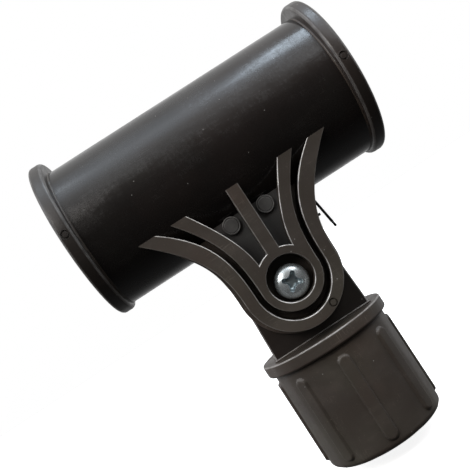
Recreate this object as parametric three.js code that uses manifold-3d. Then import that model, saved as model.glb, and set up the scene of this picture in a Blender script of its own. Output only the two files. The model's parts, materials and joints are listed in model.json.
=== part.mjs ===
// Umbrella swivel bracket: a flanged sleeve that slides on an umbrella pole, with a clevis of two
// ribbed cheeks moulded below it, and a plug that tilts in the clevis on one M6 screw.
//
// Millimetres, +Z up. The origin is the middle of the sleeve's bore. +X runs along the sleeve,
// the pivot screw lies along Y with its head towards -Y, and the plug hangs down along -Z.

import * as THREE from 'three';
import { mergeVertices } from 'three/addons/utils/BufferGeometryUtils.js';
import Module from 'manifold-3d';

const wasm = await Module();
wasm.setup();

// ---------------------------------------------------------------- driving dimensions

const GAP = 0.3;                    // clearance between pieces that touch

const SLEEVE = {
  length: 112, outer: 27.5, bore: 24.5, leadIn: 0.8,
  flange: 30.7, flangeWidth: 5.1, flangeRise: 1.5, flangeRound: 1.4,
};

const PIVOT_DROP = 51.1;            // sleeve axis down to the pivot axis
const BOSS_RISE = 1.3;              // centre of the boss rings above the pivot axis
const PIVOT_Z = -PIVOT_DROP;
const BOSS_Z = PIVOT_Z + BOSS_RISE;

// distances from the middle plane, Y = 0
const CHEEK = { inner: 10.35, floor: 13.8, pocketFloor: 16.6, front: 23.75, seat: 15.4 };
const RIB_TIP = 36;                 // rib tips above the boss centre, where the ribs meet the tube
const RIB_TOP = 37.6;               // the ribs run on into the tube wall
const OVERLAP = 0.8;                // how far joined shapes run into each other

const BOSS = { counterbore: 8.05, outer: 11.05 };
const PAD = { x: 6.8, z: 25.3, radius: 3.15, front: 17.9 };

const SCREW = {
  shank: 2.95, length: 40, headRadius: 6, headHeight: 4.6, headSeat: 17.3,
  recessDepth: 2.7, recessReach: 3.1, recessWidth: 1.5, recessTurn: 0.56,
};
const HOLE = SCREW.shank + GAP + 0.05;
const WASHER = { radius: 6, thickness: 1.3 };
const NUT = { acrossFlats: 10, height: 6, ringRadius: 4.4, ringHeight: 1.4 };
const BUSH = { outer: 5, half: 10 };
const FRICTION = { outer: 13, thickness: 0.9 };

const TONGUE = { half: 10, topWidth: 18.4, bottomWidth: 19.1, taperFrom: -5, recess: 1.15 };

// heights below are measured from the pivot axis
const COLLAR = { radius: 24.5, top: -21.2, bottom: -25.9, round: 0.7, chamfer: 0.9 };
const SPIGOT = { radius: 22.5, bottom: -64.4, round: 2.2, wall: 3 };
const GRIP = { count: 8, radius: 23.45, width: 4.8, top: -28.9, bottom: -61.6, edge: 0.5 };
const CORE = { hub: 7, hubBore: 4, hubDepth: 24, web: 2, top: -29.5, neckX: 15.5, neckY: 6.5, neckTop: -14 };

const WIRE = { radius: 0.4, channel: 0.7, y: -12.1 };

const ROUND = 72;                   // facets on the large round surfaces
const SMALL = 32;                   // facets on fasteners

// ---------------------------------------------------------------- materials

const material = (color, roughness, metalness = 0) =>
  new THREE.MeshStandardMaterial({ color, roughness, metalness });

const BRONZE_PLASTIC = material(0x4a4340, 0.38);
const ZINC = material(0xc8ccd0, 0.3, 1);
const STEEL = material(0x9a9da0, 0.4, 1);
const NYLON = material(0xe6e2d6, 0.55);
const BLACK_NYLON = material(0x1c1c1e, 0.6);
const SPRING_WIRE = material(0x151515, 0.45, 1);

// ---------------------------------------------------------------- solids

function solid(geometry) {
  const bare = geometry.clone();
  bare.deleteAttribute('normal');
  bare.deleteAttribute('uv');
  const merged = mergeVertices(bare, 1e-4);
  return new wasm.Manifold(new wasm.Mesh({
    numProp: 3,
    vertProperties: new Float32Array(merged.attributes.position.array),
    triVerts: new Uint32Array(merged.index.array),
  }));
}

const SLIVER = 0.003;               // detail smaller than this is merged away

function meshOf(name, body, look) {
  const { vertProperties, triVerts } = body.simplify(SLIVER).getMesh();
  const geometry = new THREE.BufferGeometry();
  geometry.setAttribute('position', new THREE.BufferAttribute(vertProperties, 3));
  geometry.setIndex(new THREE.BufferAttribute(triVerts, 1));
  geometry.computeVertexNormals();
  const mesh = new THREE.Mesh(geometry, look);
  mesh.name = name;
  return mesh;
}

const joined = (...bodies) => bodies.reduce((sum, body) => sum.add(body));
const cut = (body, ...tools) => tools.reduce((rest, tool) => rest.subtract(tool), body);

// a flat shape drawn in X and Z, standing between two Y planes
function slab(shape, yFrom, yTo, curveSegments = 14) {
  const geometry = new THREE.ExtrudeGeometry(shape, { depth: yTo - yFrom, bevelEnabled: false, curveSegments });
  geometry.rotateX(Math.PI / 2);
  geometry.translate(0, yTo, 0);
  return solid(geometry);
}

// a cylinder along Y
function pin(radius, yFrom, yTo, z, x = 0, facets = SMALL) {
  const geometry = new THREE.CylinderGeometry(radius, radius, yTo - yFrom, facets);
  geometry.translate(x, (yFrom + yTo) / 2, z);
  return solid(geometry);
}

// a profile of [radius, height] points turned about the Z axis
function turned(points, facets = ROUND) {
  const geometry = new THREE.LatheGeometry(points.map(([r, h]) => new THREE.Vector2(r, h)), facets);
  geometry.rotateX(Math.PI / 2);
  return geometry;
}

// points of a quarter round from angle a to angle b, in degrees
function quarter(centreR, centreH, radius, a, b, steps = 3) {
  return Array.from({ length: steps + 1 }, (_, i) => {
    const angle = THREE.MathUtils.degToRad(a + (b - a) * i / steps);
    return [centreR + radius * Math.cos(angle), centreH + radius * Math.sin(angle)];
  });
}

const mirrorY = (body) => body.mirror([0, 1, 0]);

// ---------------------------------------------------------------- outlines of the cheek
// All in X and Z, measured from the centre of the boss. Each side curve is a cubic from the round
// bottom up to the rib tips, and the left side mirrors the right.

const CURVES = {
  plate: { side: [[19.0, 0], [19.0, 14.5], [20.8, 20.5], [37.0, RIB_TIP]], depth: 19.2 },
  outerRib: { side: [[17.4, 0], [17.4, 12], [20.0, 21], [36.9, RIB_TIP]], depth: 17.95 },
  outerRibInside: { side: [[13.1, 0], [13.1, 14.5], [15, 24.5], [30.0, RIB_TIP]], depth: 14.1 },
  innerRib: { side: [[BOSS.outer, 0], [BOSS.outer, 12.5], [12.2, 21.8], [24.1, RIB_TIP]], depth: BOSS.outer },
};
const POCKET_SIDE = [[6.5, 8.94], [7.0, 16], [10.0, 23.5], [18.0, RIB_TIP]];
const CENTRE_RIB = 2.4;             // half width

const STEPS = 8;                    // pieces of each side curve
const ARC_STEPS = 20;               // pieces of each round bottom

function cubic(points, sign) {
  const [a, b, c, d] = points.map(([x, z]) => new THREE.Vector2(sign * x, z));
  return new THREE.CubicBezierCurve(a, b, c, d).getPoints(STEPS);
}

// a U-shaped run of points: down the left side, round the bottom, up the right side
function loop({ side, depth }) {
  const left = cubic(side, -1).reverse();
  const right = cubic(side, 1);
  const halfWidth = side[0][0];
  const bottom = Array.from({ length: ARC_STEPS - 1 }, (_, i) => {
    const angle = Math.PI + Math.PI * (i + 1) / ARC_STEPS;
    return new THREE.Vector2(halfWidth * Math.cos(angle), depth * Math.sin(angle));
  });
  const tipX = side[3][0];
  const lift = RIB_TOP - RIB_TIP;
  return [new THREE.Vector2(-tipX - lift, RIB_TOP), ...left, ...bottom, ...right,
    new THREE.Vector2(tipX + lift, RIB_TOP)];
}

const raised = (points) => new THREE.Shape(points.map((p) => new THREE.Vector2(p.x, p.y + BOSS_Z)));

function outerRibShape() {
  return raised([...loop(CURVES.outerRib), ...loop(CURVES.outerRibInside).reverse()]);
}

function innerRibShape() {
  const pocket = cubic(POCKET_SIDE, 1).reverse();
  const pocketBottom = [];
  const from = Math.atan2(POCKET_SIDE[0][1], POCKET_SIDE[0][0]);
  const to = Math.acos(CENTRE_RIB / BOSS.outer);
  const arcSteps = 4;
  for (let i = 1; i <= arcSteps; i += 1) {
    const angle = from + (to - from) * i / arcSteps;
    pocketBottom.push(new THREE.Vector2(BOSS.outer * Math.cos(angle), BOSS.outer * Math.sin(angle)));
  }
  const rightHalf = [new THREE.Vector2(POCKET_SIDE[3][0] + 1, RIB_TOP), ...pocket, ...pocketBottom,
    new THREE.Vector2(CENTRE_RIB, RIB_TOP)];
  const leftHalf = rightHalf.map((p) => new THREE.Vector2(-p.x, p.y)).reverse();
  return raised([...loop(CURVES.innerRib), ...rightHalf, ...leftHalf]);
}

// ---------------------------------------------------------------- wire clip

// a hook of wire: a free leg, a return bend inside the front cheek and a short stub
function wirePath() {
  const at = (x, z) => new THREE.Vector3(x, WIRE.y, BOSS_Z + z);
  const legEnd = at(23.7, 5.8);
  const shoulder = at(21.55, 21.2);
  const stubEnd = at(21.4, 12.4);
  const path = new THREE.CurvePath();
  path.add(new THREE.LineCurve3(legEnd, shoulder));
  path.add(new THREE.CubicBezierCurve3(shoulder, at(21.2, 24), at(17.4, 24), at(17.4, 20.6)));
  path.add(new THREE.LineCurve3(at(17.4, 20.6), at(17.4, 15.2)));
  path.add(new THREE.QuadraticBezierCurve3(at(17.4, 15.2), at(17.4, 12.6), at(19.4, 12.4)));
  path.add(new THREE.LineCurve3(at(19.4, 12.4), stubEnd));
  return path;
}

function wire(radius) {
  const section = new THREE.Shape();
  section.absarc(0, 0, radius, 0, Math.PI * 2);
  return solid(new THREE.ExtrudeGeometry(section, {
    extrudePath: wirePath(), steps: 36, bevelEnabled: false, curveSegments: 4,
  }));
}

// ---------------------------------------------------------------- sleeve bracket

// a solid disc with a rounded rim, bored out later with the tube
function flange(side) {
  const { flange: radius, flangeWidth, flangeRise, flangeRound, length } = SLEEVE;
  const profile = [
    [0, 0],
    ...quarter(radius - flangeRound, flangeRound, flangeRound, -90, 0),
    ...quarter(radius - flangeRound, flangeWidth - flangeRound, flangeRound, 0, 90),
    [0, flangeWidth],
  ];
  const disc = turned(profile);
  disc.rotateY(side * Math.PI / 2);
  disc.translate(side * (length / 2 - flangeWidth), 0, flangeRise);
  return solid(disc);
}

function sleeve() {
  const { length, outer, flangeWidth } = SLEEVE;
  const tube = new THREE.CylinderGeometry(outer, outer, length - flangeWidth, ROUND);
  tube.rotateZ(Math.PI / 2);
  tube.rotateX(Math.PI / ROUND);
  return joined(solid(tube), flange(1), flange(-1));
}

function poleBore() {
  const { length, bore, leadIn } = SLEEVE;
  const half = length / 2;
  const profile = [
    [0, -half - 1], [bore + leadIn, -half - 1], [bore + leadIn, -half], [bore, -half + leadIn],
    [bore, half - leadIn], [bore + leadIn, half], [bore + leadIn, half + 1], [0, half + 1],
  ];
  const tool = turned(profile);
  tool.rotateY(Math.PI / 2);
  return solid(tool);
}

function cheek() {
  const { inner, floor, pocketFloor, front } = CHEEK;
  const plate = slab(raised(loop(CURVES.plate)), -floor, -inner);
  const root = -floor + OVERLAP;
  const outerRib = slab(outerRibShape(), -front, root);
  const innerRib = slab(innerRibShape(), -front, root);
  const web = slab(raised(loop(CURVES.innerRib)), -pocketFloor, root);
  const pads = [1, -1].map((side) => pin(PAD.radius, -PAD.front, root, BOSS_Z + PAD.z, side * PAD.x, 24));
  return joined(plate, outerRib, innerRib, web, ...pads);
}

function hexTool(acrossFlats, yFrom, yTo) {
  return pin(acrossFlats / Math.sqrt(3), yFrom, yTo, PIVOT_Z, 0, 6);
}

function sleeveBracket() {
  const { front, seat } = CHEEK;
  const frontCheek = cheek();
  const body = joined(sleeve(), frontCheek, mirrorY(frontCheek));
  return cut(
    body,
    poleBore(),
    pin(BOSS.counterbore, -front - 1, -seat, BOSS_Z, 0, 48),
    hexTool(NUT.acrossFlats + 2 * GAP, seat, front + 1),
    pin(HOLE, -front, front, PIVOT_Z),
    wire(WIRE.channel),
  );
}

// ---------------------------------------------------------------- plug arm

function grip(index) {
  const { radius, width, top, bottom, edge, count } = GRIP;
  const half = width / 2 - edge;
  const shape = new THREE.Shape();
  const upper = top - width / 2;
  const lower = bottom + width / 2;
  shape.absarc(0, upper, half, 0, Math.PI);
  shape.absarc(0, lower, half, Math.PI, Math.PI * 2);
  const depth = 3;
  const land = new THREE.ExtrudeGeometry(shape, {
    depth, bevelEnabled: true, bevelThickness: edge, bevelSize: edge, bevelSegments: 1, curveSegments: 6,
  });
  land.rotateX(Math.PI / 2);
  land.translate(0, -(radius - edge - depth), 0);
  land.rotateZ(index * Math.PI * 2 / count);
  return solid(land);
}

function coringTools() {
  const { hub, hubBore, hubDepth, web, top } = CORE;
  const inside = SPIGOT.radius - SPIGOT.wall;
  const low = SPIGOT.bottom - 1;
  const tools = [];
  for (let i = 0; i < GRIP.count; i += 1) {
    const half = Math.PI / GRIP.count;
    const edge = (r) => half - Math.asin(web / 2 / r);
    const shape = new THREE.Shape();
    shape.absarc(0, 0, inside, -edge(inside), edge(inside), false);
    shape.absarc(0, 0, hub, edge(hub), -edge(hub), true);
    shape.closePath();
    const pocket = new THREE.ExtrudeGeometry(shape, { depth: top - low, bevelEnabled: false, curveSegments: 6 });
    pocket.rotateZ(half + i * 2 * half);
    pocket.translate(0, 0, low);
    tools.push(solid(pocket));
  }
  const bore = new THREE.CylinderGeometry(hubBore, hubBore, hubDepth + 1, SMALL);
  bore.rotateX(Math.PI / 2);
  bore.translate(0, 0, low + (hubDepth + 1) / 2);
  const neckPocket = new THREE.BoxGeometry(2 * CORE.neckX, 2 * CORE.neckY, CORE.neckTop - top + 1.5);
  neckPocket.translate(0, 0, (CORE.neckTop + top - 1.5) / 2);
  return [...tools, solid(bore), solid(neckPocket)];
}

function tongue() {
  const { half, topWidth, bottomWidth, taperFrom } = TONGUE;
  const shape = new THREE.Shape();
  const base = COLLAR.top - OVERLAP;
  shape.moveTo(-bottomWidth, base);
  shape.lineTo(bottomWidth, base);
  shape.lineTo(topWidth, taperFrom);
  shape.lineTo(topWidth, 0);
  shape.absarc(0, 0, topWidth, 0, Math.PI);
  shape.lineTo(-topWidth, taperFrom);
  shape.closePath();
  return slab(shape, -half, half, 20);
}

function plugArm() {
  const { radius, top, bottom, round, chamfer } = COLLAR;
  const profile = [
    [0, top],
    ...quarter(radius - round, top - round, round, 90, 0),
    [radius, bottom + chamfer],
    [SPIGOT.radius + 0.5, bottom],
    [SPIGOT.radius, bottom - 0.6],
    ...quarter(SPIGOT.radius - SPIGOT.round, SPIGOT.bottom + SPIGOT.round, SPIGOT.round, 0, -90),
    [0, SPIGOT.bottom],
  ];
  const stem = turned(profile.reverse());
  const { half, recess } = TONGUE;
  const seat = FRICTION.outer + GAP;
  const grips = Array.from({ length: GRIP.count }, (_, i) => grip(i));
  return cut(
    joined(solid(stem), tongue(), ...grips),
    pin(BUSH.outer + GAP, -half - 1, half + 1, 0),
    pin(seat, -half - 1, -half + recess, 0, 0, 48),
    pin(seat, half - recess, half + 1, 0, 0, 48),
    ...coringTools(),
  );
}

// ---------------------------------------------------------------- pivot hardware

// pieces of the pivot are turned about Z and then laid along Y, head end towards -Y
function alongY(geometry, y) {
  geometry.rotateX(Math.PI / 2);
  geometry.translate(0, y, PIVOT_Z);
  return solid(geometry);
}

function ring(inner, outer, yFrom, yTo, facets = SMALL) {
  const depth = yTo - yFrom;
  const profile = [[inner, 0], [outer, 0], [outer, depth], [inner, depth], [inner, 0]];
  return alongY(turned(profile, facets), yTo);
}

function pivotScrew() {
  const { shank, length, headRadius, headHeight, headSeat, recessDepth, recessReach, recessWidth } = SCREW;
  const domeFrom = headHeight * 0.42;
  const domeSteps = 5;
  const dome = Array.from({ length: domeSteps + 1 }, (_, i) => {
    const angle = i / domeSteps * Math.PI / 2;
    return [headRadius * Math.cos(angle), domeFrom + (headHeight - domeFrom) * Math.sin(angle)];
  });
  dome[domeSteps][0] = 0;
  const profile = [
    [0, -length], [shank - 0.7, -length], [shank, -length + 0.9], [shank, 0],
    [headRadius - 0.3, 0], [headRadius, 0.3], ...dome,
  ];
  const body = alongY(turned(profile, SMALL), -headSeat);
  const arms = [0, 1].map((i) => {
    const arm = new THREE.BoxGeometry(2 * recessReach, 2 * recessDepth, recessWidth);
    arm.rotateY(SCREW.recessTurn + i * Math.PI / 2);
    arm.translate(0, -headSeat - headHeight, PIVOT_Z);
    return solid(arm);
  });
  return cut(body, ...arms);
}

function lockNut() {
  const { acrossFlats, height, ringRadius, ringHeight } = NUT;
  const from = CHEEK.seat + GAP;
  const to = from + height;
  return cut(
    hexTool(acrossFlats, from, to),
    pin(HOLE, from - 1, to + 1, PIVOT_Z),
    pin(ringRadius + GAP, to - ringHeight - 2 * GAP, to + 1, PIVOT_Z),
  );
}

function nutRing() {
  const to = CHEEK.seat + GAP + NUT.height - GAP;
  return ring(HOLE, NUT.ringRadius, to - NUT.ringHeight, to);
}

function headWasher() {
  const from = -SCREW.headSeat + GAP;
  return ring(HOLE, WASHER.radius, from, from + WASHER.thickness);
}

function frictionWasher(side) {
  const outerFace = CHEEK.inner - GAP;
  const innerFace = outerFace - FRICTION.thickness;
  const [from, to] = side > 0 ? [innerFace, outerFace] : [-outerFace, -innerFace];
  return ring(BUSH.outer + GAP, FRICTION.outer, from, to, 48);
}

// ---------------------------------------------------------------- assembly

const bracket = new THREE.Group();
bracket.name = 'umbrella_swivel_bracket';

bracket.add(
  meshOf('sleeve_bracket', sleeveBracket(), BRONZE_PLASTIC),
  meshOf('pivot_screw', pivotScrew(), ZINC),
  meshOf('head_washer', headWasher(), ZINC),
  meshOf('lock_nut', lockNut(), ZINC),
  meshOf('nut_nylon_ring', nutRing(), NYLON),
  meshOf('pivot_bush', ring(HOLE, BUSH.outer, -BUSH.half, BUSH.half), STEEL),
  meshOf('friction_washer_front', frictionWasher(-1), BLACK_NYLON),
  meshOf('friction_washer_rear', frictionWasher(1), BLACK_NYLON),
  meshOf('wire_clip', wire(WIRE.radius), SPRING_WIRE),
);

const arm = new THREE.Group();
arm.position.z = PIVOT_Z;
arm.add(meshOf('plug_arm', plugArm(), BRONZE_PLASTIC));
bracket.add(arm);

export default bracket;
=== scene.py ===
"""Looks of the umbrella swivel bracket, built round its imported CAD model.

Shapes are written in millimetres, in the CAD model's frame: +X along the sleeve, the pivot screw
along Y with its head towards -Y, +Z up, and the origin in the middle of the sleeve's bore.
Heights on the cheeks are measured from the boss and those on the plug from the pivot.
"""

import json
import math

import bpy
import bmesh
import numpy as np
from mathutils import Matrix, Vector


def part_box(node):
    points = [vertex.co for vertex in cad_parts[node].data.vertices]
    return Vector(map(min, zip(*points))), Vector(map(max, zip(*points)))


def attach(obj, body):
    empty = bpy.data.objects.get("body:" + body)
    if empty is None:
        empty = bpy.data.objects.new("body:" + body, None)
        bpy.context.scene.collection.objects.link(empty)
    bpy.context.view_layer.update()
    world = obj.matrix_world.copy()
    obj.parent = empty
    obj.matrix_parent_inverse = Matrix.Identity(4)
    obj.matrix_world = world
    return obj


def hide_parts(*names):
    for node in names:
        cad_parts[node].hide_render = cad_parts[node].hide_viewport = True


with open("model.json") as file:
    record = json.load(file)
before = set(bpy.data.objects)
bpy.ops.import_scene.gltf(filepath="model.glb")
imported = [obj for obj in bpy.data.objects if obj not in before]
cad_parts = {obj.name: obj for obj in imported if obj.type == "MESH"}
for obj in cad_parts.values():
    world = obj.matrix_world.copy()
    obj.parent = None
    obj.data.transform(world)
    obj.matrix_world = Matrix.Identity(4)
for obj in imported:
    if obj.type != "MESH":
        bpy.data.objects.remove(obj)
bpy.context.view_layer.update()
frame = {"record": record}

MM = 0.001
SQUARE_CORNERS = np.array([(-1, -1), (1, -1), (1, 1), (-1, 1)], float)
OVER = 1.0  # how far a cutting tool reaches past the face that it cuts, and a rib into its wall
ON_AXIS = 0.001  # radius at which a turned profile ends on its axis

# ---------------------------------------------------------------- sizes


def box_mm(node):
    """The low and high corners of a CAD node's box, in millimetres."""
    low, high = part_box(node)
    return np.array(low) / MM, np.array(high) / MM


sleeve_high = box_mm("sleeve_bracket")[1]
arm_low = box_mm("plug_arm")[0]
screw_low, screw_high = box_mm("pivot_screw")

HALF_LENGTH = sleeve_high[0]
FLANGE_R = sleeve_high[1]
FLANGE_RISE = sleeve_high[2] - FLANGE_R
FLANGE_WIDTH = 5.1
FLANGE_ROUND = 1.4
TUBE_R = 27.5
BORE_R = 24.5
LEAD_IN = 0.8
SEAM = 0.06  # height of the mould's parting line
SEAM_ANGLES = (-0.012, -0.005, 0.005, 0.012)  # the parting line's two feet and its two top corners
SEAM_TOP = 0.006  # sine of the angle within which the parting line stands proud

PIVOT_Z = frame["record"]["behaviour"]["joints"][0]["pos_m"][2] / MM
BOSS_Z = PIVOT_Z + 1.3

CHEEK_INNER = 10.35
CHEEK_FLOOR = 13.8
POCKET_FLOOR = 16.6
CHEEK_FRONT = 23.75
CHEEK_SEAT = 15.4
BACK_CHAMFER = 0.3
FLARE = 0.3  # fillet at the foot of a rib
WEB_INSET = 0.3  # how far the pocket floor stays inside the inner rib's outline
EDGE = 0.28  # rounding of moulded edges
RIB_TOP = 37.0  # height above the boss at which the ribs have run into the tube's wall
COUNTERBORE_R = 8.05
BOSS_R = 11.05
HOLE_R = 3.3

TONGUE_HALF = 10.0
BUSH_BORE_R = 5.3
WASHER_SEAT_R = 13.3
WASHER_SEAT_DEPTH = 1.15
COLLAR_R = 24.5
COLLAR_TOP = -21.2
COLLAR_BOTTOM = -25.9
PLUG_BOTTOM = arm_low[2] - PIVOT_Z
PLUG_ROUND = 2.2
STEM_R = 22.5
GRIP_RISE = 0.95
GRIP_HALF = 2.4
GRIP_SIDE = 0.75  # width of a grip's soft side
GRIP_COUNT = 8
GRIP_TOP = -28.9
GRIP_BOTTOM = -61.6

HEAD_R = 6.0
HEAD_SEAT = -17.3
HEAD_HEIGHT = HEAD_SEAT - screw_low[1]
DOME_RISE = HEAD_HEIGHT * 0.58
RECESS_TURN = math.radians(-32)
SHANK_R = 2.9
THREAD_FROM = 5.0
THREAD_PITCH = 1.0
THREAD_DEPTH = 0.5
NUT_FLATS = 10.0
NYLON_RING_R = 3.9

# ---------------------------------------------------------------- mesh tools


def new_object(name, verts, faces):
    """A mesh from points in millimetres, with its faces turned outwards."""
    mesh = bpy.data.meshes.new(name)
    mesh.from_pydata((np.asarray(verts, float) * MM).tolist(), [], faces)
    work = bmesh.new()
    work.from_mesh(mesh)
    bmesh.ops.remove_doubles(work, verts=work.verts, dist=1e-7)
    bmesh.ops.recalc_face_normals(work, faces=work.faces)
    work.to_mesh(mesh)
    work.free()
    obj = bpy.data.objects.new(name, mesh)
    bpy.context.scene.collection.objects.link(obj)
    return obj


def skin(name, rings, loop=False):
    """Rings of points, each closed on itself, joined in order. Open stacks get a cap at each end."""
    rings = np.asarray(rings, float)
    count, around = rings.shape[:2]
    faces = []
    for i in range(count if loop else count - 1):
        a, b = i * around, (i + 1) % count * around
        for j in range(around):
            k = (j + 1) % around
            faces.append((a + j, a + k, b + k, b + j))
    if not loop:
        faces.append(tuple(range(around)))
        faces.append(tuple(range((count - 1) * around, count * around)))
    return new_object(name, rings.reshape(-1, 3), faces)


def inset(outline, distance):
    """An outline in X and Z, running anticlockwise, moved inwards by a distance."""
    before = outline - np.roll(outline, 1, 0)
    after = np.roll(before, -1, 0)
    normals = [np.stack([-e[:, 1], e[:, 0]], 1) / np.linalg.norm(e, axis=1)[:, None]
               for e in (before, after)]
    middle = normals[0] + normals[1]
    middle /= np.linalg.norm(middle, axis=1)[:, None]
    spread = np.maximum((middle * normals[0]).sum(1), 0.5)
    return outline + middle * (distance / spread)[:, None]


def anticlockwise(outline):
    x, z = np.asarray(outline, float).T
    area = (x * np.roll(z, -1) - z * np.roll(x, -1)).sum()
    return np.stack([x, z], 1)[:: 1 if area > 0 else -1]


def prism(name, outline, levels):
    """An outline in X and Z carried through levels of (y, inset)."""
    outline = anticlockwise(outline)
    rings = []
    for y, distance in levels:
        x, z = inset(outline, distance).T if distance else outline.T
        rings.append(np.stack([x, np.full_like(x, y), z], 1))
    return skin(name, rings)


def rounded(y_from, y_to, radius, flare=0.0, steps=4):
    """Levels of a wall that flares at its foot, y_from, and has a rounded edge at y_to."""
    way = 1 if y_to > y_from else -1
    quarter = [math.radians(90 * i / steps) for i in range(steps + 1)]
    levels = [(y_from, 0)]
    if flare:
        levels = [(y_from - way * OVER, -flare)]
        levels += [(y_from + way * flare * (1 - math.cos(a)), -flare * (1 - math.sin(a)))
                   for a in quarter]
    levels += [(y_to - way * radius * (1 - math.sin(a)), radius * (1 - math.cos(a))) for a in quarter]
    return levels


def circle(radius, x=0.0, z=0.0, count=96):
    """An outline in X and Z, running anticlockwise."""
    angles = np.arange(count) * 2 * math.pi / count
    return np.stack([x + radius * np.cos(angles), z + radius * np.sin(angles)], 1)


def ring_about_y(y, radius, angles, z=PIVOT_Z, x=0.0):
    """Points round a line along Y. The radius is one number, or one for each angle."""
    return np.stack([x + radius * np.cos(angles), np.full_like(angles, y), z + radius * np.sin(angles)], 1)


def turned(name, profile, z=PIVOT_Z, x=0.0, count=96):
    """A profile of (y, radius) turned about a line along Y: solid if it starts on the axis, else a ring."""
    angles = np.arange(count) * 2 * math.pi / count
    return skin(name, [ring_about_y(y, radius, angles, z, x) for y, radius in profile],
                loop=profile[0][1] > ON_AXIS)


def pin(name, radius, y_from, y_to):
    """A plain round tool along the pivot."""
    return turned(name, [(y_from, ON_AXIS), (y_from, radius), (y_to, radius), (y_to, ON_AXIS)], count=64)


def arc(centre, radius, start, end, steps=4):
    """Points of an arc in a plane, with angles in degrees."""
    angles = [math.radians(start + (end - start) * i / steps) for i in range(steps + 1)]
    return [(centre[0] + radius * math.cos(a), centre[1] + radius * math.sin(a)) for a in angles]


def combine(target, others, operation):
    """Adds other solids to target, or cuts them from it, and deletes them."""
    for other in others:
        step = target.modifiers.new(operation, "BOOLEAN")
        step.operation = operation
        step.solver = "MANIFOLD"
        step.object = other
    graph = bpy.context.evaluated_depsgraph_get()
    mesh = bpy.data.meshes.new_from_object(target.evaluated_get(graph))
    target.modifiers.clear()
    target.data = mesh
    for other in others:
        bpy.data.objects.remove(other)
    return target


CREASE = math.radians(38)  # edges that bend more than this stay sharp


def smooth(obj):
    """Smooth shading with crisp edges, and flat faces kept flat."""
    for polygon in obj.data.polygons:
        polygon.use_smooth = True
    obj.data.set_sharp_from_angle(angle=CREASE)
    weighted = obj.modifiers.new("flat faces", "WEIGHTED_NORMAL")
    weighted.keep_sharp = True
    weighted.weight = 80
    return obj


def mark_wear_and_highlight(obj, wear):
    """Stores on each face how much it is whitened, by wear and as painted highlight, from its middle, in
    millimetres, and its normal.
    """
    values = [wear(*(c / MM for c in face.center), *face.normal) for face in obj.data.polygons]
    obj.data.attributes.new("wear_and_highlight", "FLOAT", "FACE").data.foreach_set("value", values)


def finished(obj, material, body, node):
    """Gives a piece its material, hides the CAD node that it stands for and puts it on its body."""
    obj.data.materials.clear()
    obj.data.materials.append(material)
    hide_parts(node)
    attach(obj, body)
    return obj


# ---------------------------------------------------------------- material tools


def maths(tree, operation, a, b):
    """A sum or the like of two values, each a number or another node's output."""
    node = tree.nodes.new("ShaderNodeMath")
    node.operation = operation
    for socket, value in zip(node.inputs, (a, b)):
        if isinstance(value, (int, float)):
            socket.default_value = value
        else:
            tree.links.new(value, socket)
    return node.outputs[0]


class Nodes:
    """A Principled material built up node by node."""

    def __init__(self, name, metallic=0.0, specular=0.5):
        self.material = bpy.data.materials.new(name)
        self.material.use_nodes = True
        self.tree = self.material.node_tree
        self.shader = self.tree.nodes["Principled BSDF"]
        self.shader.inputs["Metallic"].default_value = metallic
        self.shader.inputs["Specular IOR Level"].default_value = specular
        self.place = self.add("ShaderNodeTexCoord").outputs["Object"]

    def add(self, kind, **settings):
        node = self.tree.nodes.new(kind)
        for key, value in settings.items():
            setattr(node, key, value)
        return node

    def link(self, output, socket):
        self.tree.links.new(output, socket)

    def noise(self, scale, detail=3.0, roughness=0.55, stretch=(1, 1, 1), turn=(0, 0, 0)):
        """Noise over the object, with scale in cells per metre."""
        mapping = self.add("ShaderNodeMapping")
        mapping.inputs["Scale"].default_value = stretch
        mapping.inputs["Rotation"].default_value = turn
        self.link(self.place, mapping.inputs["Vector"])
        noise = self.add("ShaderNodeTexNoise")
        noise.inputs["Scale"].default_value = scale
        noise.inputs["Detail"].default_value = detail
        noise.inputs["Roughness"].default_value = roughness
        self.link(mapping.outputs["Vector"], noise.inputs["Vector"])
        return noise.outputs["Fac"]

    def cells(self, scale):
        """Distance, in cells, from the nearest of some points scattered through space."""
        node = self.add("ShaderNodeTexVoronoi")
        node.inputs["Scale"].default_value = scale
        self.link(self.place, node.inputs["Vector"])
        return node.outputs["Distance"]

    def ramp(self, source, low, high, start=0.0, end=1.0):
        """Source between low and high, carried over to start and end."""
        node = self.add("ShaderNodeMapRange", interpolation_type="SMOOTHSTEP")
        for key, value in (("From Min", low), ("From Max", high), ("To Min", start), ("To Max", end)):
            node.inputs[key].default_value = value
        self.link(source, node.inputs["Value"])
        return node.outputs["Result"]

    def maths(self, operation, a, b):
        return maths(self.tree, operation, a, b)

    def mix(self, factor, a, b):
        """A colour between a and b."""
        node = self.add("ShaderNodeMix", data_type="RGBA")
        self.link(factor, node.inputs["Factor"])
        for socket, value in ((node.inputs[6], a), (node.inputs[7], b)):
            if isinstance(value, tuple):
                socket.default_value = (*value, 1)
            else:
                self.link(value, socket)
        return node.outputs[2]

    def colour(self, source):
        self.link(source, self.shader.inputs["Base Color"])

    def rough(self, source):
        self.link(source, self.shader.inputs["Roughness"])

    def bump(self, *layers):
        """Layers of (height, depth in millimetres), one on top of the other."""
        normal = None
        for height, depth in layers:
            node = self.add("ShaderNodeBump")
            node.inputs["Distance"].default_value = depth * MM
            self.link(height, node.inputs["Height"])
            if normal is not None:
                self.link(normal, node.inputs["Normal"])
            normal = node.outputs["Normal"]
        self.link(normal, self.shader.inputs["Normal"])


def tinted(colour, *factors):
    """A colour with its red, green and blue each multiplied."""
    return tuple(c * f for c, f in zip(colour, factors))


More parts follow.
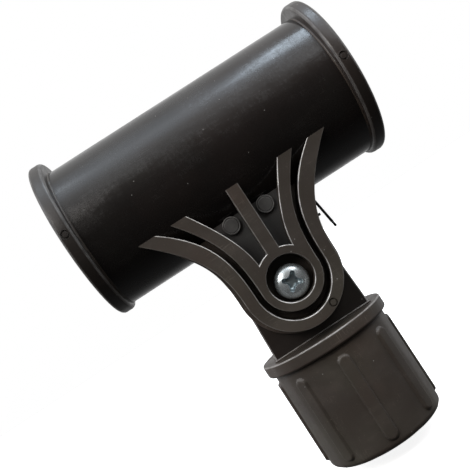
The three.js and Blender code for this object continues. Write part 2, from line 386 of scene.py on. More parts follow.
def bronze_plastic(name, shine, matt, light, scuffs, streaks=0.0):
    """Dark bronze moulded plastic, with handling smears, fine scratches, dust, and edges whitened by wear
    and as painted highlight.

    shine and matt are its least and greatest roughness, and light is its paler colour.
    """
    n = Nodes(name, specular=0.5)
    cloud = n.noise(26, 4)
    grain = n.noise(900, 4, 0.6)
    smear = n.noise(110, 4, 0.65, stretch=(0.3, 1, 1), turn=(0.2, 0.3, 0.5))
    fleck = n.ramp(n.noise(1500, 2), 0.66, 0.74)
    dust = n.ramp(n.cells(190), 0.02, 0.045, 1.0, 0.0)
    scratch_a = n.ramp(n.noise(3200, 2, 0.5, stretch=(0.05, 1, 1), turn=(0.3, 0.5, 0.9)), 0.62, 0.70)
    scratch_b = n.ramp(n.noise(3800, 2, 0.5, stretch=(1, 1, 0.06), turn=(0.7, -0.4, 0.2)), 0.63, 0.70)
    patch = n.ramp(n.noise(60, 2), 0.48, 0.66)
    scratched = n.maths("MULTIPLY", n.maths("MAXIMUM", scratch_a, scratch_b), patch)
    scratched = n.maths("MULTIPLY", scratched, scuffs)
    dark = tuple(c * 0.72 for c in light)
    pale = tuple(min(1, c * 3.2 + 0.01) for c in light)
    warm = tinted(light, 1.06, 0.97, 0.94)
    cool = tinted(light, 0.94, 1.03, 0.98)
    tint = n.mix(n.ramp(n.noise(22, 2), 0.42, 0.58), cool, warm)
    base = n.mix(n.ramp(cloud, 0.36, 0.64), dark, tint)
    base = n.mix(n.maths("MULTIPLY", n.ramp(smear, 0.5, 0.7), 0.25), base, tuple(c * 1.5 for c in light))
    marked = n.maths("MAXIMUM", scratched, n.maths("MULTIPLY", fleck, 0.25))
    base = n.mix(n.maths("MULTIPLY", marked, 0.6), base, pale)
    # Edge whitening from the wear_and_highlight attribute: wear, and painted highlight on edges that face
    # upwards.
    rubbed_and_highlight = n.maths("MULTIPLY", n.add("ShaderNodeAttribute", attribute_name="wear_and_highlight").outputs["Fac"],
                     n.ramp(n.noise(240, 3), 0.3, 0.6, 0.35, 1.0))
    base = n.mix(rubbed_and_highlight, base, RUBBED_AND_HIGHLIGHT)
    base = n.mix(n.maths("MULTIPLY", dust, 0.7), base, DUST)
    n.colour(base)
    rough = n.ramp(smear, 0.36, 0.66, shine, matt)
    rough = n.maths("ADD", rough, n.maths("MULTIPLY", scratched, 0.18))
    streak = n.ramp(n.noise(700, 4, 0.7, stretch=(1, 0.25, 0.25)), 0.4, 0.64, 0.0, streaks)
    rough = n.maths("ADD", rough, streak)
    rough = n.maths("ADD", rough, n.ramp(grain, 0.4, 0.7, -0.02, 0.05))
    n.rough(n.maths("SUBTRACT", rough, n.maths("MULTIPLY", rubbed_and_highlight, 0.12)))
    n.bump((n.noise(70, 2), 0.05), (smear, 0.03), (grain, 0.012), (scratched, -0.015))
    return n.material


def plated_steel(name, colour, roughness, turned_marks=0.0, metallic=1.0):
    """Bright plated steel, with a light haze, dull spots and fine marks."""
    n = Nodes(name, metallic=metallic)
    haze = n.noise(420, 5, 0.7, stretch=(1, 1, 0.5), turn=(0, 0.6, 0))
    spots = n.ramp(n.noise(1300, 3), 0.56, 0.75)
    n.colour(n.mix(n.ramp(haze, 0.38, 0.62), colour, tuple(c * 0.84 for c in colour)))
    n.rough(n.maths("ADD", n.ramp(haze, 0.35, 0.65, roughness, roughness + 0.1),
                    n.maths("MULTIPLY", spots, 0.04)))
    n.bump((haze, 0.02), (n.noise(2600, 2, stretch=(1, turned_marks + 1, 1)), 0.004))
    return n.material


def nylon(name, colour, roughness):
    """Plain moulded nylon with a faint grain."""
    n = Nodes(name, specular=0.4)
    grain = n.noise(1100, 3)
    n.colour(n.mix(n.ramp(n.noise(180, 3), 0.35, 0.65), colour, tuple(c * 0.8 for c in colour)))
    n.rough(n.ramp(grain, 0.3, 0.7, roughness, roughness + 0.12))
    n.bump((grain, 0.012))
    return n.material


RUBBED_AND_HIGHLIGHT = (0.85, 0.83, 0.81)  # plastic whitened along its edges by wear, and as painted highlight where the edges face upwards
DUST = (0.4, 0.39, 0.37)
POLISHED = bronze_plastic("polished bronze plastic", 0.09, 0.26, (0.017, 0.0145, 0.0138), 0.4, 0.05)
SATIN = bronze_plastic("satin bronze plastic", 0.4, 0.52, (0.072, 0.058, 0.048), 0.75)
# Pocket floors and pads: a greyer tone, made lighter than the satin plastic as painted light against the
# shade in the pockets.
GREY_LIGHTENED = bronze_plastic("grey bronze plastic lightened against pocket shade", 0.38, 0.5, (0.082, 0.08, 0.08), 0.6)
# Darker plastic of the flange rims, and on the plug's tongue a painted shade where the bracket shades it.
RIM_AND_TONGUE_SHADE = bronze_plastic("rim bronze plastic with painted tongue shade", 0.3, 0.42, (0.034, 0.028, 0.025), 0.5)
ZINC = plated_steel("bright zinc", (0.84, 0.93, 0.98), 0.2, metallic=0.8)
# Darker zinc for the faces inside the cross recess: painted shade.
RECESS_SHADE = plated_steel("recess zinc with painted shade", (0.36, 0.43, 0.46), 0.3, metallic=0.8)
STEEL = plated_steel("turned steel", (0.5, 0.5, 0.51), 0.28, 3.0)
WHITE_NYLON = nylon("white nylon", (0.75, 0.72, 0.64), 0.45)
BLACK_NYLON = nylon("black nylon", (0.012, 0.012, 0.013), 0.5)
WIRE_STEEL = nylon("black enamelled wire", (0.006, 0.006, 0.006), 0.4)

# ---------------------------------------------------------------- sleeve and flanges


def sleeve():
    """Tube, flanges and bore as one turned skin. The flanges sit higher than the bore."""
    out = HALF_LENGTH
    step = out - FLANGE_WIDTH
    rim = FLANGE_R - FLANGE_ROUND
    right = [(x, r, FLANGE_RISE) for x, r in
             arc((step + FLANGE_ROUND, rim), FLANGE_ROUND, 180, 90)
             + arc((out - FLANGE_ROUND, rim), FLANGE_ROUND, 90, 0)]
    fillet = [(step - 0.6, TUBE_R, 0), (step - 0.2, TUBE_R + 0.05, 0), (step, TUBE_R + 0.25, 0)]
    right_bore = [(x, r, 0) for x, r in arc((out - LEAD_IN, BORE_R + LEAD_IN), LEAD_IN, 0, -90)]
    along = [(x, TUBE_R, 0) for x in np.linspace(-step + 2, step - 2, 9)]
    half_turn = fillet + right + right_bore
    left_turn = [(-x, r, rise) for x, r, rise in reversed(half_turn)]
    profile = along + half_turn + left_turn
    angles = np.linspace(0, 2 * math.pi, 192, endpoint=False)
    seams = [c + s for c in (0, math.pi) for s in SEAM_ANGLES]
    angles = np.sort(np.concatenate([angles, np.array(seams) % (2 * math.pi)]))
    on_seam = np.abs(np.sin(angles)) < SEAM_TOP
    rings = []
    for x, r, rise in profile:
        radius = r + (SEAM * on_seam if r > TUBE_R - 0.1 else 0)
        rings.append(np.stack([np.full_like(angles, x), radius * np.sin(angles),
                               rise + radius * np.cos(angles)], 1))
    return skin("sleeve", rings, loop=True)


# ---------------------------------------------------------------- cheeks

# Each U-shaped outline: the Bezier curve of its right side, and how far its round bottom reaches
# below the boss's axis.
CURVES = {
    "plate": ([(19.0, 0), (19.0, 14.5), (20.8, 20.5), (37.0, 36)], 19.2),
    "outer rib": ([(17.4, 0), (17.4, 12), (20.0, 21), (36.9, 36)], 17.95),
    "outer rib inside": ([(13.1, 0), (13.1, 14.5), (15, 24.5), (30.0, 36)], 14.1),
    "inner rib": ([(BOSS_R, 0), (BOSS_R, 12.5), (12.2, 21.8), (24.1, 36)], BOSS_R),
}
POCKET_SIDE = [(6.5, 8.94), (7.0, 16), (10.0, 23.5), (18.0, 36)]
CENTRE_RIB_HALF = 2.4
PADS = [(-6.8, 25.3), (6.8, 25.3)]
PAD_R = 3.15
PAD_EDGE = 0.25
PAD_FRONT = 17.9
PIN_MARK_R = 1.45
RIB_MARK = (7.4, -14.3)  # place of the ejector mark on the outer rib
NUT_CHAMFER = 0.4  # round the mouth of the nut's pocket
NUT_POCKET = [(CHEEK_SEAT, 0), (CHEEK_FRONT - NUT_CHAMFER, 0), (CHEEK_FRONT, -NUT_CHAMFER),
              (CHEEK_FRONT + OVER, -NUT_CHAMFER)]


def cubic(points, steps=28):
    """Points along a cubic Bezier curve."""
    t = np.linspace(0, 1, steps + 1)[:, None]
    a, b, c, d = (np.array(p, float) for p in points)
    return a * (1 - t) ** 3 + 3 * b * t * (1 - t) ** 2 + 3 * c * t ** 2 * (1 - t) + d * t ** 3


def up_to_tube(curve):
    """A side curve carried on, in its last direction, into the tube's wall."""
    way = curve[-1] - curve[-2]
    return np.vstack([curve, curve[-1] + way * (RIB_TOP - curve[-1][1]) / way[1]])


def loop_of(name):
    """A U-shaped run of points: down the left side, round the bottom and up the right side."""
    side, depth = CURVES[name]
    right = up_to_tube(cubic(side))
    left = (right * (-1, 1))[::-1]
    angles = np.linspace(math.pi, 2 * math.pi, 66)[1:-1]
    bottom = np.stack([side[0][0] * np.cos(angles), depth * np.sin(angles)], 1)
    return np.vstack([left, bottom, right])


def outer_rib_outline():
    """The band between the outer rib's two sides."""
    return np.vstack([loop_of("outer rib"), loop_of("outer rib inside")[::-1]])


def inner_rib_outline():
    """The inner rib, the boss and the centre rib in one outline, with the two pockets left out."""
    pocket = up_to_tube(cubic(POCKET_SIDE))[::-1]
    start = math.atan2(POCKET_SIDE[0][1], POCKET_SIDE[0][0])
    end = math.acos(CENTRE_RIB_HALF / BOSS_R)
    angles = np.linspace(start, end, 10)[1:]
    bottom = np.stack([BOSS_R * np.cos(angles), BOSS_R * np.sin(angles)], 1)
    right = np.vstack([pocket, bottom, [(CENTRE_RIB_HALF, RIB_TOP)]])
    left = (right * (-1, 1))[::-1]
    return np.vstack([loop_of("inner rib"), right, left])


def raised(outline):
    """An outline drawn round the boss, moved to where the boss is."""
    return np.asarray(outline) + (0, BOSS_Z)


def cheek(way):
    """The parts of one cheek. way is -1 for the front one and 1 for the rear one."""
    inner, floor, pocket = way * CHEEK_INNER, way * CHEEK_FLOOR, way * POCKET_FLOOR
    back = [(inner, BACK_CHAMFER), (way * (CHEEK_INNER + BACK_CHAMFER), 0)]
    plate = prism("plate", raised(loop_of("plate")), back + rounded(inner, floor, EDGE)[1:])
    ribs = [prism("rib", raised(outline), rounded(floor, way * CHEEK_FRONT, EDGE, FLARE))
            for outline in (outer_rib_outline(), inner_rib_outline())]
    web = prism("web", raised(loop_of("inner rib")),
                [(way * (CHEEK_FLOOR - OVER), WEB_INSET), (pocket, WEB_INSET)])
    pad_levels = rounded(pocket, way * PAD_FRONT, PAD_EDGE, PAD_EDGE)
    pads = [prism("pad", circle(PAD_R, x, BOSS_Z + z, 64), pad_levels) for x, z in PADS]
    return [plate, *ribs, web, *pads]


def bore_tool(radius, half_length):
    """A round tool along the sleeve."""
    angles = np.linspace(0, 2 * math.pi, 192, endpoint=False)
    y, z = radius * np.sin(angles), radius * np.cos(angles)
    return skin("bore", [np.stack([np.full_like(angles, x), y, z], 1) for x in (-half_length, half_length)])


def ring_mark(x, y, z, radius, width=0.4, depth=0.45):
    """The tool for the round groove that an ejector pin leaves in a face towards -Y, at y."""
    outer, inner = radius + 0.1, radius - width - 0.1
    draft = 0.15
    return turned("mark", [(y - OVER, outer), (y - 0.02, outer), (y + depth, outer - draft),
                           (y + depth, inner + draft), (y - 0.02, inner), (y - OVER, inner)],
                  z=z, x=x, count=48)


def hexagon(across_flats, per_side=1):
    """A hexagon with points spread along its sides."""
    reach = across_flats / math.sqrt(3)
    turns = [math.radians(60 * i) for i in range(7)]
    corners = [np.array([math.cos(a), math.sin(a)]) for a in turns]
    return np.array([reach * (corners[i] + (corners[i + 1] - corners[i]) * j / per_side)
                     for i in range(6) for j in range(per_side)])


def moulding():
    """Sleeve, flanges and both cheeks as one solid."""
    first, *others = cheek(-1) + cheek(1)
    joined = combine(first, others, "UNION")
    joined = combine(joined, [bore_tool((TUBE_R + BORE_R) / 2, HALF_LENGTH)], "DIFFERENCE")
    body = combine(sleeve(), [joined], "UNION")
    face = -CHEEK_FRONT
    counterbore = turned("counterbore", [
        (-CHEEK_SEAT, ON_AXIS), (-CHEEK_SEAT, COUNTERBORE_R - 0.3), (-CHEEK_SEAT - 0.3, COUNTERBORE_R),
        (face + EDGE, COUNTERBORE_R), (face + 0.12, COUNTERBORE_R + 0.12), (face, COUNTERBORE_R + EDGE),
        (face - OVER, COUNTERBORE_R + EDGE), (face - OVER, ON_AXIS)], z=BOSS_Z, count=128)
    hole = pin("hole", HOLE_R, face, CHEEK_FRONT)
    nut_pocket = prism("nut pocket", hexagon(NUT_FLATS + 0.6) + (0, PIVOT_Z), NUT_POCKET)
    marks = [ring_mark(RIB_MARK[0], face, BOSS_Z + RIB_MARK[1], PIN_MARK_R, depth=0.6)]
    flange = HALF_LENGTH - FLANGE_WIDTH / 2
    marks += [ring_mark(side * flange, -FLANGE_R + 0.05, FLANGE_RISE, PIN_MARK_R) for side in (-1, 1)]
    marks += [ring_mark(x, -PAD_FRONT, BOSS_Z + z, PAD_R - 0.45, 0.3, 0.2) for x, z in PADS]
    body = combine(body, [counterbore, hole, nut_pocket, *marks], "DIFFERENCE")
    body.name = "sleeve_moulding"
    return body


SQUARE = 0.985  # a face is flat and square to Y when its normal's share along Y is above this
LEAST_WEAR = 0.12
# Whitening at the edges of faces at these depths from Y, lifted on edges that face upwards as painted
# highlight.
EDGE_WEAR_AND_HIGHLIGHT = ((CHEEK_FRONT, 1.0), (CHEEK_FLOOR, 0.2), (PAD_FRONT, 0.3))


def bracket_wear_and_highlight(x, y, z, nx, ny, nz):
    """Rib edges that face upwards are whitened most, then the pads', the plate's and the flanges'. The lift
    on edges that face upwards is painted highlight, the rest wear.
    """
    radius = math.hypot(y, z)
    if radius < TUBE_R + 0.1:
        return 0.0
    if abs(x) > HALF_LENGTH - FLANGE_WIDTH - 1:
        return LEAST_WEAR if 0.2 < abs(nx) < 0.97 and radius > TUBE_R + 1 else 0.0
    if math.hypot(x - RIB_MARK[0], z - BOSS_Z - RIB_MARK[1]) < PIN_MARK_R + 0.1:
        return 0.0
    if abs(ny) > SQUARE and abs(abs(y) - PAD_FRONT) < 0.01:
        return 0.05
    # Edges that face upwards are whitened more: painted highlight.
    upward = nz / max(math.hypot(nx, nz), 0.01)
    for face, amount in EDGE_WEAR_AND_HIGHLIGHT:
        if abs(ny) < SQUARE and face - EDGE - 0.02 < abs(y) < face:
            return amount * min(max(LEAST_WEAR + 1.5 * (upward + 0.1), LEAST_WEAR), 1)
    return 0.0


def paint_by_place(obj, finishes):
    """Pairs of material and test. A face takes the last material whose test its middle passes."""
    obj.data.materials.clear()
    for material, _ in finishes:
        obj.data.materials.append(material)
    for face in obj.data.polygons:
        middle = [c / MM for c in face.center]
        for i, (_, test) in enumerate(finishes):
            if test is None or test(*middle):
                face.material_index = i


def is_tube(x, y, z):
    return math.hypot(y, z) < TUBE_R + 0.02


def is_lightened_pocket(x, y, z):
    """The pocket floors and the pads that stand on them."""
    return POCKET_FLOOR - 0.05 < abs(y) < PAD_FRONT + 0.05 and math.hypot(x, z - BOSS_Z) > BOSS_R


def is_rim(x, y, z):
    return abs(x) > HALF_LENGTH - FLANGE_WIDTH - 0.1 and math.hypot(y, z) > TUBE_R - 0.1


bracket = smooth(moulding())
mark_wear_and_highlight(bracket, bracket_wear_and_highlight)
finished(bracket, POLISHED, "bracket", "sleeve_bracket")
# The pocket floors and pads take the lightened grey: painted light against their shade.
paint_by_place(bracket, ((SATIN, None), (GREY_LIGHTENED, is_lightened_pocket), (POLISHED, is_tube), (RIM_AND_TONGUE_SHADE, is_rim)))

# ---------------------------------------------------------------- plug


def spread_angles():
    """Angles round the stem, close together at the sides of the grips."""
    offsets = [0, 0.7, 1.3, 1.6, 1.75, 1.9, 2.05, 2.2, 2.35, 2.5, 2.65, 3.0, 4.4, 6.2]
    one = sorted({s * o / STEM_R for o in offsets for s in (-1, 1)})
    pitch = 2 * math.pi / GRIP_COUNT
    return np.concatenate([i * pitch + np.array(one) for i in range(GRIP_COUNT)])


def grip_height(angles, z):
    """How far the grips stand out at a height z: round-ended pads with soft sides."""
    pitch = 2 * math.pi / GRIP_COUNT
    across = (angles - np.round(angles / pitch) * pitch) * STEM_R
    along = max(z - (GRIP_TOP - GRIP_HALF), (GRIP_BOTTOM + GRIP_HALF) - z, 0)
    inside = GRIP_HALF - np.hypot(across, along)
    share = np.clip(inside / GRIP_SIDE, 0, 1)
    return GRIP_RISE * np.sin(share * math.pi / 2)


def stem():
    """Collar and ribbed stem, as rings of points from the top down."""
    angles = spread_angles()
    top_round, low_round = 0.5, 0.9
    under = COLLAR_BOTTOM
    outline = [(1, COLLAR_TOP), (12, COLLAR_TOP)]
    outline += arc((COLLAR_R - top_round, COLLAR_TOP - top_round), top_round, 90, 0, 5)
    outline += arc((COLLAR_R - low_round, under + low_round), low_round, 0, -80, 6)
    outline += [(STEM_R + 0.35, under - 0.1), (STEM_R + 0.1, under - 0.25), (STEM_R, under - 0.6),
                (STEM_R, under - 1.7)]
    fine = 0.2  # distance between rows at the grips' round ends
    top_rows = np.arange(GRIP_TOP + 0.4, GRIP_TOP - GRIP_HALF - 0.4, -fine)
    low_rows = np.arange(GRIP_BOTTOM + GRIP_HALF + 0.4, GRIP_BOTTOM - 0.3, -fine)
    middle = np.linspace(top_rows[-1], low_rows[0], 8)[1:-1]
    outline += [(STEM_R, z) for z in (*top_rows, *middle, *low_rows)]
    outline += arc((STEM_R - PLUG_ROUND, PLUG_BOTTOM + PLUG_ROUND), PLUG_ROUND, 0, -90, 8)
    outline += [(10, PLUG_BOTTOM), (1, PLUG_BOTTOM)]
    rings = []
    for r, z in outline:
        radius = r + (grip_height(angles, z) if abs(r - STEM_R) < 0.01 else 0)
        rings.append(np.stack([radius * np.sin(angles), -radius * np.cos(angles),
                               np.full_like(angles, PIVOT_Z + z)], 1))
    return skin("stem", rings)


def tongue():
    """The flat tongue with its round top, on a small step above the collar."""
    top, low, taper, sunk = 18.4, 19.1, -5, COLLAR_TOP - 0.8
    half, edge = TONGUE_HALF, 0.5
    outline = np.vstack([circle(top)[:49], [(-top, taper), (-low, sunk), (low, sunk), (top, taper)]])
    levels = rounded(0, -half, edge)[:0:-1] + rounded(0, half, edge)[1:]
    slab = prism("tongue", outline + (0, PIVOT_Z), levels)
    step_rings = []
    for grow, rise in ((0.55, -0.8), (0.55, 0.35), (0.4, 0.5), (0.1, 0.62), (-0.5, 0.66)):
        x, y = (SQUARE_CORNERS * (low + grow, half + grow)).T
        step_rings.append(np.stack([x, y, np.full(4, PIVOT_Z + COLLAR_TOP + rise)], 1))
    return [slab, skin("step", step_rings)]


def coring_tools():
    """The pockets in the plug's lower end, one for each grip round a hub, and the hub's bore."""
    inside, hub, web, top = STEM_R - 3, 7.0, 2.0, -29.5
    mouth, bore_r, bore_depth = 4.4, 4.0, 24
    end = PLUG_BOTTOM
    low = end - OVER
    half = math.pi / GRIP_COUNT
    outwards, inwards = np.linspace(-1, 1, 11), np.linspace(1, -1, 7)

    def pocket_ring(z, draft, middle):
        """A sector with its sides parallel to the webs. draft narrows it."""
        points = []
        for radius, sweep in ((inside - draft, outwards), (hub + draft, inwards)):
            reach = half - math.asin((web / 2 + draft) / radius)
            points += [(radius * math.cos(a), radius * math.sin(a), PIVOT_Z + z)
                       for a in middle + reach * sweep]
        return points

    levels = ((low, -0.1), (end, -0.1), (end + 0.5, 0), (top + 1, 0.3), (top, 0.9))
    tools = [skin("pocket", [pocket_ring(z, draft, half + 2 * half * i) for z, draft in levels])
             for i in range(GRIP_COUNT)]
    angles = np.linspace(0, 2 * math.pi, 48, endpoint=False)
    bore = [np.stack([r * np.cos(angles), r * np.sin(angles), np.full_like(angles, PIVOT_Z + z)], 1)
            for r, z in ((mouth, low), (mouth, end), (bore_r, end + 0.4), (bore_r, end + bore_depth))]
    return [*tools, skin("hub bore", bore)]


def plug():
    """Stem, collar and tongue as one solid, with its bores and pockets."""
    past, seat = TONGUE_HALF + OVER, TONGUE_HALF - WASHER_SEAT_DEPTH
    body = combine(stem(), tongue(), "UNION")
    cross = pin("cross bore", BUSH_BORE_R, -past, past)
    seats = [turned("seat", [(way * past, ON_AXIS), (way * past, WASHER_SEAT_R),
                             (way * seat, WASHER_SEAT_R), (way * seat, ON_AXIS)]) for way in (-1, 1)]
    body = combine(body, [cross, *seats, *coring_tools()], "DIFFERENCE")
    body.name = "plug_moulding"
    return body


def plug_wear_and_highlight(x, y, z, nx, ny, nz):
    """The collar's upper edge and the tongue's edges are whitened most, then the grips' upper ends. On the
    collar's upper edge and the grips' upper ends, which face upwards, this is painted highlight; on the
    tongue's edges it is wear.
    """
    radius, height = math.hypot(x, y), z - PIVOT_Z
    if radius > COLLAR_R - 1 and height > COLLAR_TOP - 0.6 and 0.1 < nz < 0.98:
        return 0.35
    if height > COLLAR_TOP and abs(y) > TONGUE_HALF - 0.5 and abs(ny) < SQUARE:
        return 0.35
    if radius > STEM_R + 0.1 and height < COLLAR_TOP - 6 and nz > 0.5:
        return 0.1
    return 0.0


def is_shaded_tongue(x, y, z):
    return z - PIVOT_Z > COLLAR_TOP + 0.7 and abs(y) < TONGUE_HALF + 0.01


plug_look = smooth(plug())
mark_wear_and_highlight(plug_look, plug_wear_and_highlight)
finished(plug_look, SATIN, "arm", "plug_arm")
# The tongue takes the darker rim plastic: painted shade.
paint_by_place(plug_look, ((SATIN, None), (RIM_AND_TONGUE_SHADE, is_shaded_tongue)))

# ---------------------------------------------------------------- pivot hardware

# The cross recess from its mouth inwards: depth, length and half width of an arm, inner corner.
RECESS_LEVELS = (
    (-OVER, 3.95, 1.15, 1.5), (0, 3.85, 1.1, 1.5), (0.18, 3.65, 0.95, 1.5), (0.42, 3.5, 0.82, 1.5),
    (0.8, 3.3, 0.76, 1.4), (1.5, 2.7, 0.68, 1.1), (1.9, 2.2, 0.6, 0.9), (2.05, 1.6, 0.5, 0.6),
)


def recess_outline(reach, half_width, corner, steps=6):
    """A cross with rounded inner corners."""
    quarter = [(reach, -half_width * 0.8), (reach + 0.12, 0), (reach, half_width * 0.8)]
    inner = half_width + corner
    angles = np.radians(np.linspace(-90, -180, steps + 1))
    quarter += [(inner + corner * math.cos(a), inner + corner * math.sin(a)) for a in angles]
    points = []
    for i in range(4):
        turn = math.radians(90 * i) + RECESS_TURN
        c, s = math.cos(turn), math.sin(turn)
        points += [(x * c - z * s, x * s + z * c) for x, z in quarter]
    return np.array(points)


def pivot_screw():
    """A pan head with a cross recess, and a rolled thread."""
    front = HEAD_SEAT - HEAD_HEIGHT
    dome = [(front + DOME_RISE * (1 - math.sin(a)), max(HEAD_R * math.cos(a), 0.02))
            for a in np.radians(np.linspace(0, 90, 25))]
    head = turned("screw", [(HEAD_SEAT + OVER, ON_AXIS), (HEAD_SEAT + OVER, SHANK_R - 0.3),
                            (HEAD_SEAT, SHANK_R), (HEAD_SEAT, HEAD_R - 0.35),
                            (HEAD_SEAT - 0.1, HEAD_R - 0.1), (HEAD_SEAT - 0.35, HEAD_R), *dome])
    rings = []
    for depth, reach, half_width, corner in RECESS_LEVELS:
        x, z = recess_outline(reach, half_width, corner).T
        rings.append(np.stack([x, np.full_like(x, front + depth), z + PIVOT_Z], 1))
    combine(head, [skin("recess", rings)], "DIFFERENCE")
    end, end_r = screw_high[1], 2.2
    crest = SHANK_R + 0.03
    angles = np.arange(48) * 2 * math.pi / 48
    thread = [ring_about_y(y, SHANK_R, angles) for y in (HEAD_SEAT + 0.4, THREAD_FROM)]
    for y in np.arange(THREAD_FROM + 0.15, end - 0.05, THREAD_PITCH / 8):
        wave = np.abs(((y / THREAD_PITCH - angles / (2 * math.pi)) % 1) * 2 - 1)
        depth = THREAD_DEPTH * np.clip(y - THREAD_FROM, 0, 1)
        groove = crest - depth * np.clip(wave * 1.25 - 0.1, 0, 1)
        thread.append(ring_about_y(y, np.minimum(groove, end_r + 0.1 + (end - y)), angles))
    thread.append(ring_about_y(end, end_r, angles))
    return combine(head, [skin("thread", thread)], "UNION")


def washer(name, inner, outer, y_from, y_to, edge=0.15):
    """A flat ring or a tube with its edges broken."""
    return turned(name, [(y_from, inner + edge), (y_from, outer - edge), (y_from + edge, outer),
                         (y_to - edge, outer), (y_to, outer - edge), (y_to, inner + edge),
                         (y_to - edge, inner), (y_from + edge, inner)])


def lock_nut():
    """A hex nut with chamfered corners and a round collar rolled over its nylon ring."""
    low, high = (v[1] for v in box_mm("lock_nut"))
    hexes = hexagon(NUT_FLATS, 12)
    reach = np.linalg.norm(hexes, axis=1)
    way = hexes / reach[:, None]
    flat = NUT_FLATS / 2
    body = low + 4.5
    levels = ((low, flat - 0.1), (low + 0.3, flat + 0.35), (low + 0.7, flat + 1),
              (body - 0.7, flat + 1), (body - 0.3, flat + 0.35), (body, flat - 0.1),
              (body + 0.15, flat - 0.35), (high - 0.4, flat - 0.35), (high, flat - 0.75))
    rings = []
    for y, limit in levels:
        x, z = (way * np.minimum(reach, limit)[:, None]).T
        rings.append(np.stack([x, np.full_like(x, y), z + PIVOT_Z], 1))
    nut = skin("lock nut", rings)
    bore = pin("bore", HOLE_R, low - OVER, high + OVER)
    seat_low, seat_r, lip_r = box_mm("nut_nylon_ring")[0][1] - 0.15, NYLON_RING_R + 0.05, 3.6
    seat = turned("seat", [(seat_low, ON_AXIS), (seat_low, seat_r), (high - 0.5, seat_r),
                           (high + 0.1, lip_r), (high + OVER, lip_r), (high + OVER, ON_AXIS)], count=64)
    return combine(nut, [bore, seat], "DIFFERENCE")


def piece(obj, name, material, body):
    """A finished piece, named after its node with _look added."""
    obj.name = name
    return finished(smooth(obj), material, body, name.removesuffix("_look"))


def is_recess(x, y, z):
    """Below the dome of the head, within reach of the cross."""
    reach, least_depth = 3.9, 0.12
    radius = math.hypot(x, z - PIVOT_Z)
    if radius > reach or y > HEAD_SEAT:
        return False
    dome = HEAD_SEAT - HEAD_HEIGHT + DOME_RISE * (1 - math.sqrt(1 - (radius / HEAD_R) ** 2))
    return y > dome + least_depth


screw = piece(pivot_screw(), "pivot_screw_look", ZINC, "bracket")
# The faces inside the cross recess take the darker zinc, a painted shade.
paint_by_place(screw, ((ZINC, None), (RECESS_SHADE, is_recess)))
piece(lock_nut(), "lock_nut_look", ZINC, "bracket")

for node, material, slot, body in (
    ("head_washer", ZINC, "zinc_steel", "bracket"),
    ("nut_nylon_ring", WHITE_NYLON, "white_nylon", "bracket"),
    ("pivot_bush", STEEL, "bush_steel", "bracket"),
    ("friction_washer_front", BLACK_NYLON, "black_nylon", "arm"),
    ("friction_washer_rear", BLACK_NYLON, "black_nylon", "arm"),
):
    low, high = box_mm(node)
    inner = BUSH_BORE_R if "friction" in node else HOLE_R + 0.02
    outer = NYLON_RING_R if node == "nut_nylon_ring" else high[0]
    piece(washer(node, inner, outer, low[1], high[1]), node + "_look", material, body)

# ---------------------------------------------------------------- wire clip

WIRE_R = 0.48
WIRE_Y = -12.1
# Its run in X and in height above the boss: the free leg, the bend over the top, and the short stub.
WIRE_RUN = [(23.7, 5.8), (23.2, 9.2), (22.6, 13.8), (22.05, 17.6), (21.55, 21.2), (21.05, 22.7),
            (20.1, 23.4), (19.0, 23.3), (17.9, 22.4), (17.4, 20.6), (17.4, 17.8), (17.4, 15.2),
            (17.65, 13.8), (18.3, 12.9), (19.4, 12.4), (20.4, 12.4), (21.4, 12.4)]


def wire():
    """A round wire swept along its run, with the run's corners cut twice and with rounded ends."""
    run = np.array(WIRE_RUN, float)
    for _ in range(2):
        middles = (run[:-1] + run[1:]) / 2
        cut = np.empty((len(run) * 2 - 2, 2))
        cut[0::2], cut[1::2] = run[:-1] * 0.5 + middles * 0.5, run[1:] * 0.5 + middles * 0.5
        run = np.vstack([run[:1], cut, run[-1:]])
    way = np.gradient(run, axis=0)
    way /= np.linalg.norm(way, axis=1)[:, None]
    angles = np.arange(16) * 2 * math.pi / 16

    def section(at, way_here, radius):
        """A ring of points square to the run."""
        side = np.array([-way_here[1], way_here[0]])
        x = at[0] + side[0] * radius * np.cos(angles)
        z = at[1] + side[1] * radius * np.cos(angles) + BOSS_Z
        return np.stack([x, WIRE_Y + radius * np.sin(angles), z], 1)

    def cap(end, inwards):
        """The round end at a point of the run, from its tip inwards."""
        return [section(run[end] + inwards * way[end] * WIRE_R * (1 - math.sin(a)), way[end],
                        WIRE_R * math.cos(a)) for a in np.radians((80, 55, 30))]

    middle = [section(p, w, WIRE_R) for p, w in zip(run[1:-1], way[1:-1])]
    return skin("wire", cap(0, 1) + middle + cap(-1, -1)[::-1])


piece(wire(), "wire_clip_look", WIRE_STEEL, "bracket")

# ---------------------------------------------------------------- floor, light and camera

FLOOR_Z = -121  # a little below the plug where it hangs lowest
FLOOR_HALF = 4000

floor_corners = [(FLOOR_HALF * x, FLOOR_HALF * y, FLOOR_Z) for x, y in SQUARE_CORNERS]
floor = new_object("floor", floor_corners, [(0, 1, 2, 3)])
pale = Nodes("pale floor", specular=0.2)
pale.colour(pale.mix(pale.noise(4, 2), (0.84, 0.84, 0.84), (0.88, 0.88, 0.88)))
pale.rough(pale.ramp(pale.noise(9, 2), 0, 1, 0.75, 0.85))
pale.shader.inputs["Emission Color"].default_value = (1, 1, 1, 1)
pale.shader.inputs["Emission Strength"].default_value = 0.85
floor.data.materials.append(pale.material)
floor.visible_glossy = False
floor.visible_diffuse = False


def softbox(name, place, target, width, height, power, colour):
    """A rectangular lamp that faces its target, in metres and watts."""
    data = bpy.data.lights.new(name, "AREA")
    data.shape = "RECTANGLE"
    data.size, data.size_y = width, height
    data.energy = power
    data.color = colour
    lamp = bpy.data.objects.new(name, data)
    lamp.location = place
    lamp.rotation_mode = "QUATERNION"
    lamp.rotation_quaternion = (Vector(target) - Vector(place)).to_track_quat("-Z", "Y")
    bpy.context.scene.collection.objects.link(lamp)


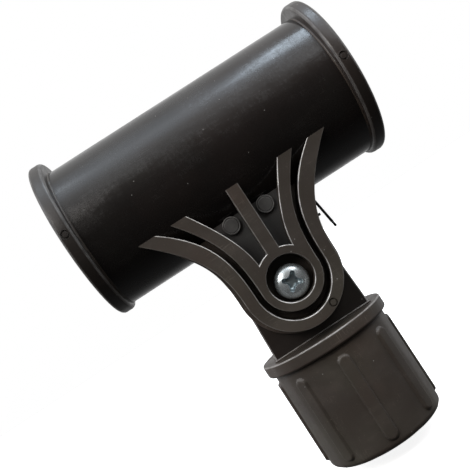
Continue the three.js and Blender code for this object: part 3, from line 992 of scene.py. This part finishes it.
softbox("window", (0.26, -0.09, 0.8), (0, 0, 0), 0.26, 0.2, 1.4, (0.72, 0.86, 1))
softbox("left window", (-0.22, -0.1, 0.8), (0, 0, 0), 0.16, 0.16, 0.2, (0.8, 0.9, 1))
softbox("left fill", (-0.46, -0.64, 0.5), (0, 0, -0.04), 0.46, 0.34, 2.8, (1, 0.97, 0.93))
softbox("right fill", (0.5, -0.6, 0.6), (0, 0, -0.04), 0.36, 0.34, 1.3, (0.95, 0.98, 1))

world = bpy.data.worlds.new("studio")
bpy.context.scene.world = world
world.use_nodes = True
tree = world.node_tree
background = tree.nodes["Background"]
place = tree.nodes.new("ShaderNodeTexCoord")
split = tree.nodes.new("ShaderNodeSeparateXYZ")
tree.links.new(place.outputs["Generated"], split.inputs[0])

# The room's brightness by the angle above the horizon: 0 is the front, 90 overhead and 180 behind.
WARM, COOL, PLAIN = (1.0, 0.92, 0.85), (0.87, 0.93, 1.0), (1.0, 1.0, 1.0)
ROOM = [(-180, 0.8, PLAIN), (-160, 0.3, PLAIN), (-131, 0.08, PLAIN), (-108, 0.08, PLAIN),
        (-70, 0.015, PLAIN), (0, 0.045, WARM), (12, 0.08, WARM), (23, 0.17, WARM), (35, 0.36, WARM),
        (48, 0.85, PLAIN), (61, 1.4, PLAIN), (72, 2.35, COOL), (80, 2.6, COOL), (90, 1.8, COOL),
        (108, 0.85, PLAIN), (131, 0.75, PLAIN), (160, 0.8, PLAIN), (180, 0.8, PLAIN)]
BRIGHTEST = 3.0  # the ramp's colours are shares of this, because they can't pass 1

towards_front = maths(tree, "MULTIPLY", split.outputs["Y"], -1.0)
angle = maths(tree, "ARCTAN2", split.outputs["Z"], towards_front)
share = maths(tree, "ADD", maths(tree, "MULTIPLY", angle, 0.5 / math.pi), 0.5)
room = tree.nodes.new("ShaderNodeValToRGB")
while len(room.color_ramp.elements) < len(ROOM):
    room.color_ramp.elements.new(0.5)
for element, (degrees, level, tint) in zip(room.color_ramp.elements, ROOM):
    element.position = (degrees + 180) / 360
    element.color = (*(level / BRIGHTEST * c for c in tint), 1)
tree.links.new(share, room.inputs["Fac"])

# The camera sees plain white, and the room lights the object.
path = tree.nodes.new("ShaderNodeLightPath")
seen = tree.nodes.new("ShaderNodeMix")
seen.data_type = "RGBA"
tree.links.new(path.outputs["Is Camera Ray"], seen.inputs["Factor"])
tree.links.new(room.outputs["Color"], seen.inputs[6])
seen.inputs[7].default_value = (1 / BRIGHTEST, 1 / BRIGHTEST, 1 / BRIGHTEST, 1)
tree.links.new(seen.outputs[2], background.inputs["Color"])
background.inputs["Strength"].default_value = BRIGHTEST

# The camera looks almost level at the front, and is rolled so that the sleeve slopes up to the right.
YAW, PITCH, LEAN, ROLL = 0.029, -0.036, -0.005, math.radians(32.74)
CAMERA_PLACE = np.array([-14.9, -272.02, 12.89 + BOSS_Z])
LEVEL = np.array([[1, 0, 0], [0, 0, -1], [0, 1, 0]])  # right, down and forward when looking along +Y
LENS = 57.79915  # on a sensor 36 wide


def turn(angle, first, second):
    """The matrix that turns one of the three axes towards another."""
    matrix = np.eye(3)
    matrix[first, first] = matrix[second, second] = math.cos(angle)
    matrix[second, first] = math.sin(angle)
    matrix[first, second] = -math.sin(angle)
    return matrix


across, down, forward = turn(LEAN, 0, 1) @ turn(PITCH, 1, 2) @ turn(YAW, 0, 2) @ LEVEL
right = math.cos(ROLL) * across + math.sin(ROLL) * down
up = math.sin(ROLL) * across - math.cos(ROLL) * down

camera = bpy.data.objects.new("camera", bpy.data.cameras.new("camera"))
camera_rows = np.column_stack([right, up, -forward, CAMERA_PLACE * MM]).tolist()
camera.matrix_world = Matrix((*camera_rows, (0, 0, 0, 1)))
camera.data.sensor_width = 36
camera.data.lens = LENS
camera.data.clip_start = 0.01
bpy.context.scene.collection.objects.link(camera)
bpy.context.scene.camera = camera
bpy.context.scene.view_settings.view_transform = "Standard"
